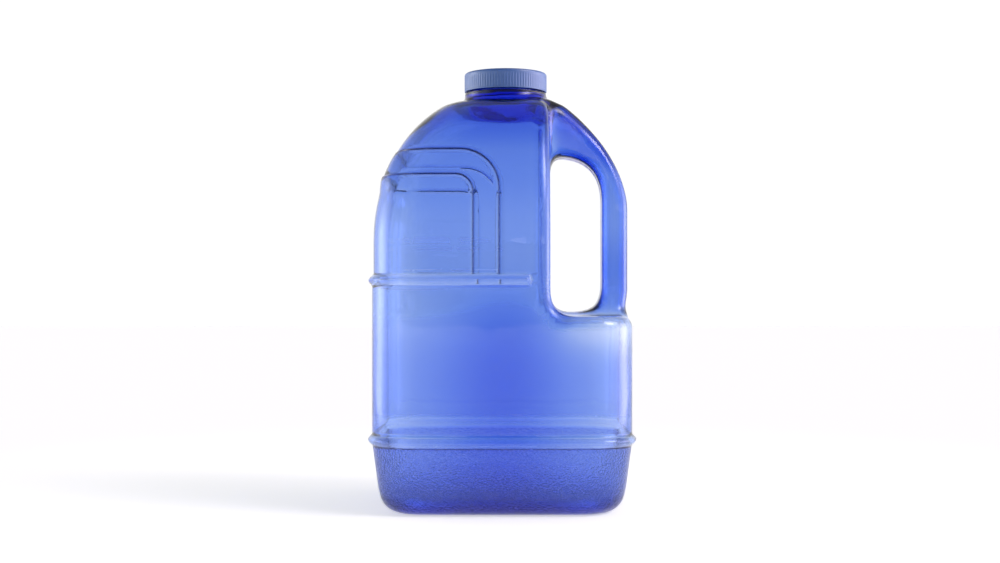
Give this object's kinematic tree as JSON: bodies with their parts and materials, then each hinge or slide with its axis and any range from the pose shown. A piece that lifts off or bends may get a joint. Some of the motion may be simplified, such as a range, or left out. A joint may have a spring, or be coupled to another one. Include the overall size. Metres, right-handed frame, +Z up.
{
  "type": "water jug",
  "caption": "Blow-moulded one-gallon water jug with a hollow side grip, ribbed and panelled walls, and a screw cap that turns and lifts off its threaded neck over a sealing disc.",
  "frame": {"origin": "middle of the base, on the surface the jug stands on", "axes": "+Z up along the neck, +X towards the handle, -Y towards the viewer who sees the handle on the right"},
  "size_m": [0.1572, 0.1548, 0.2631],
  "materials": {
    "bottle_shell": "clear blue-tinted bottle plastic, glossy outside, finely pebbled below the lower rib",
    "cap_plastic": "slate-blue moulded polypropylene, satin",
    "liner_foam": "blue-grey pressed polyethylene foam, matt"
  },
  "bodies": {
    "bottle": {"bottle": "bottle_shell"},
    "liner": {"cap_liner": "liner_foam"},
    "cap": {"cap": "cap_plastic"}
  },
  "joints": [
    {"name": "cap_rise", "type": "slide", "parent": "bottle", "child": "liner", "axis": [0, 0, 1], "range_m": [0, 0.0508]},
    {"name": "cap_turn", "type": "hinge", "parent": "liner", "child": "cap", "pos_m": [0.002, 0, 0.256], "axis": [0, 0, 1], "range_deg": [0, 1440]}
  ],
  "couplings": [
    {"joint": "cap_rise", "follows": "cap_turn", "m_per_rad": 0.0020213}
  ]
}
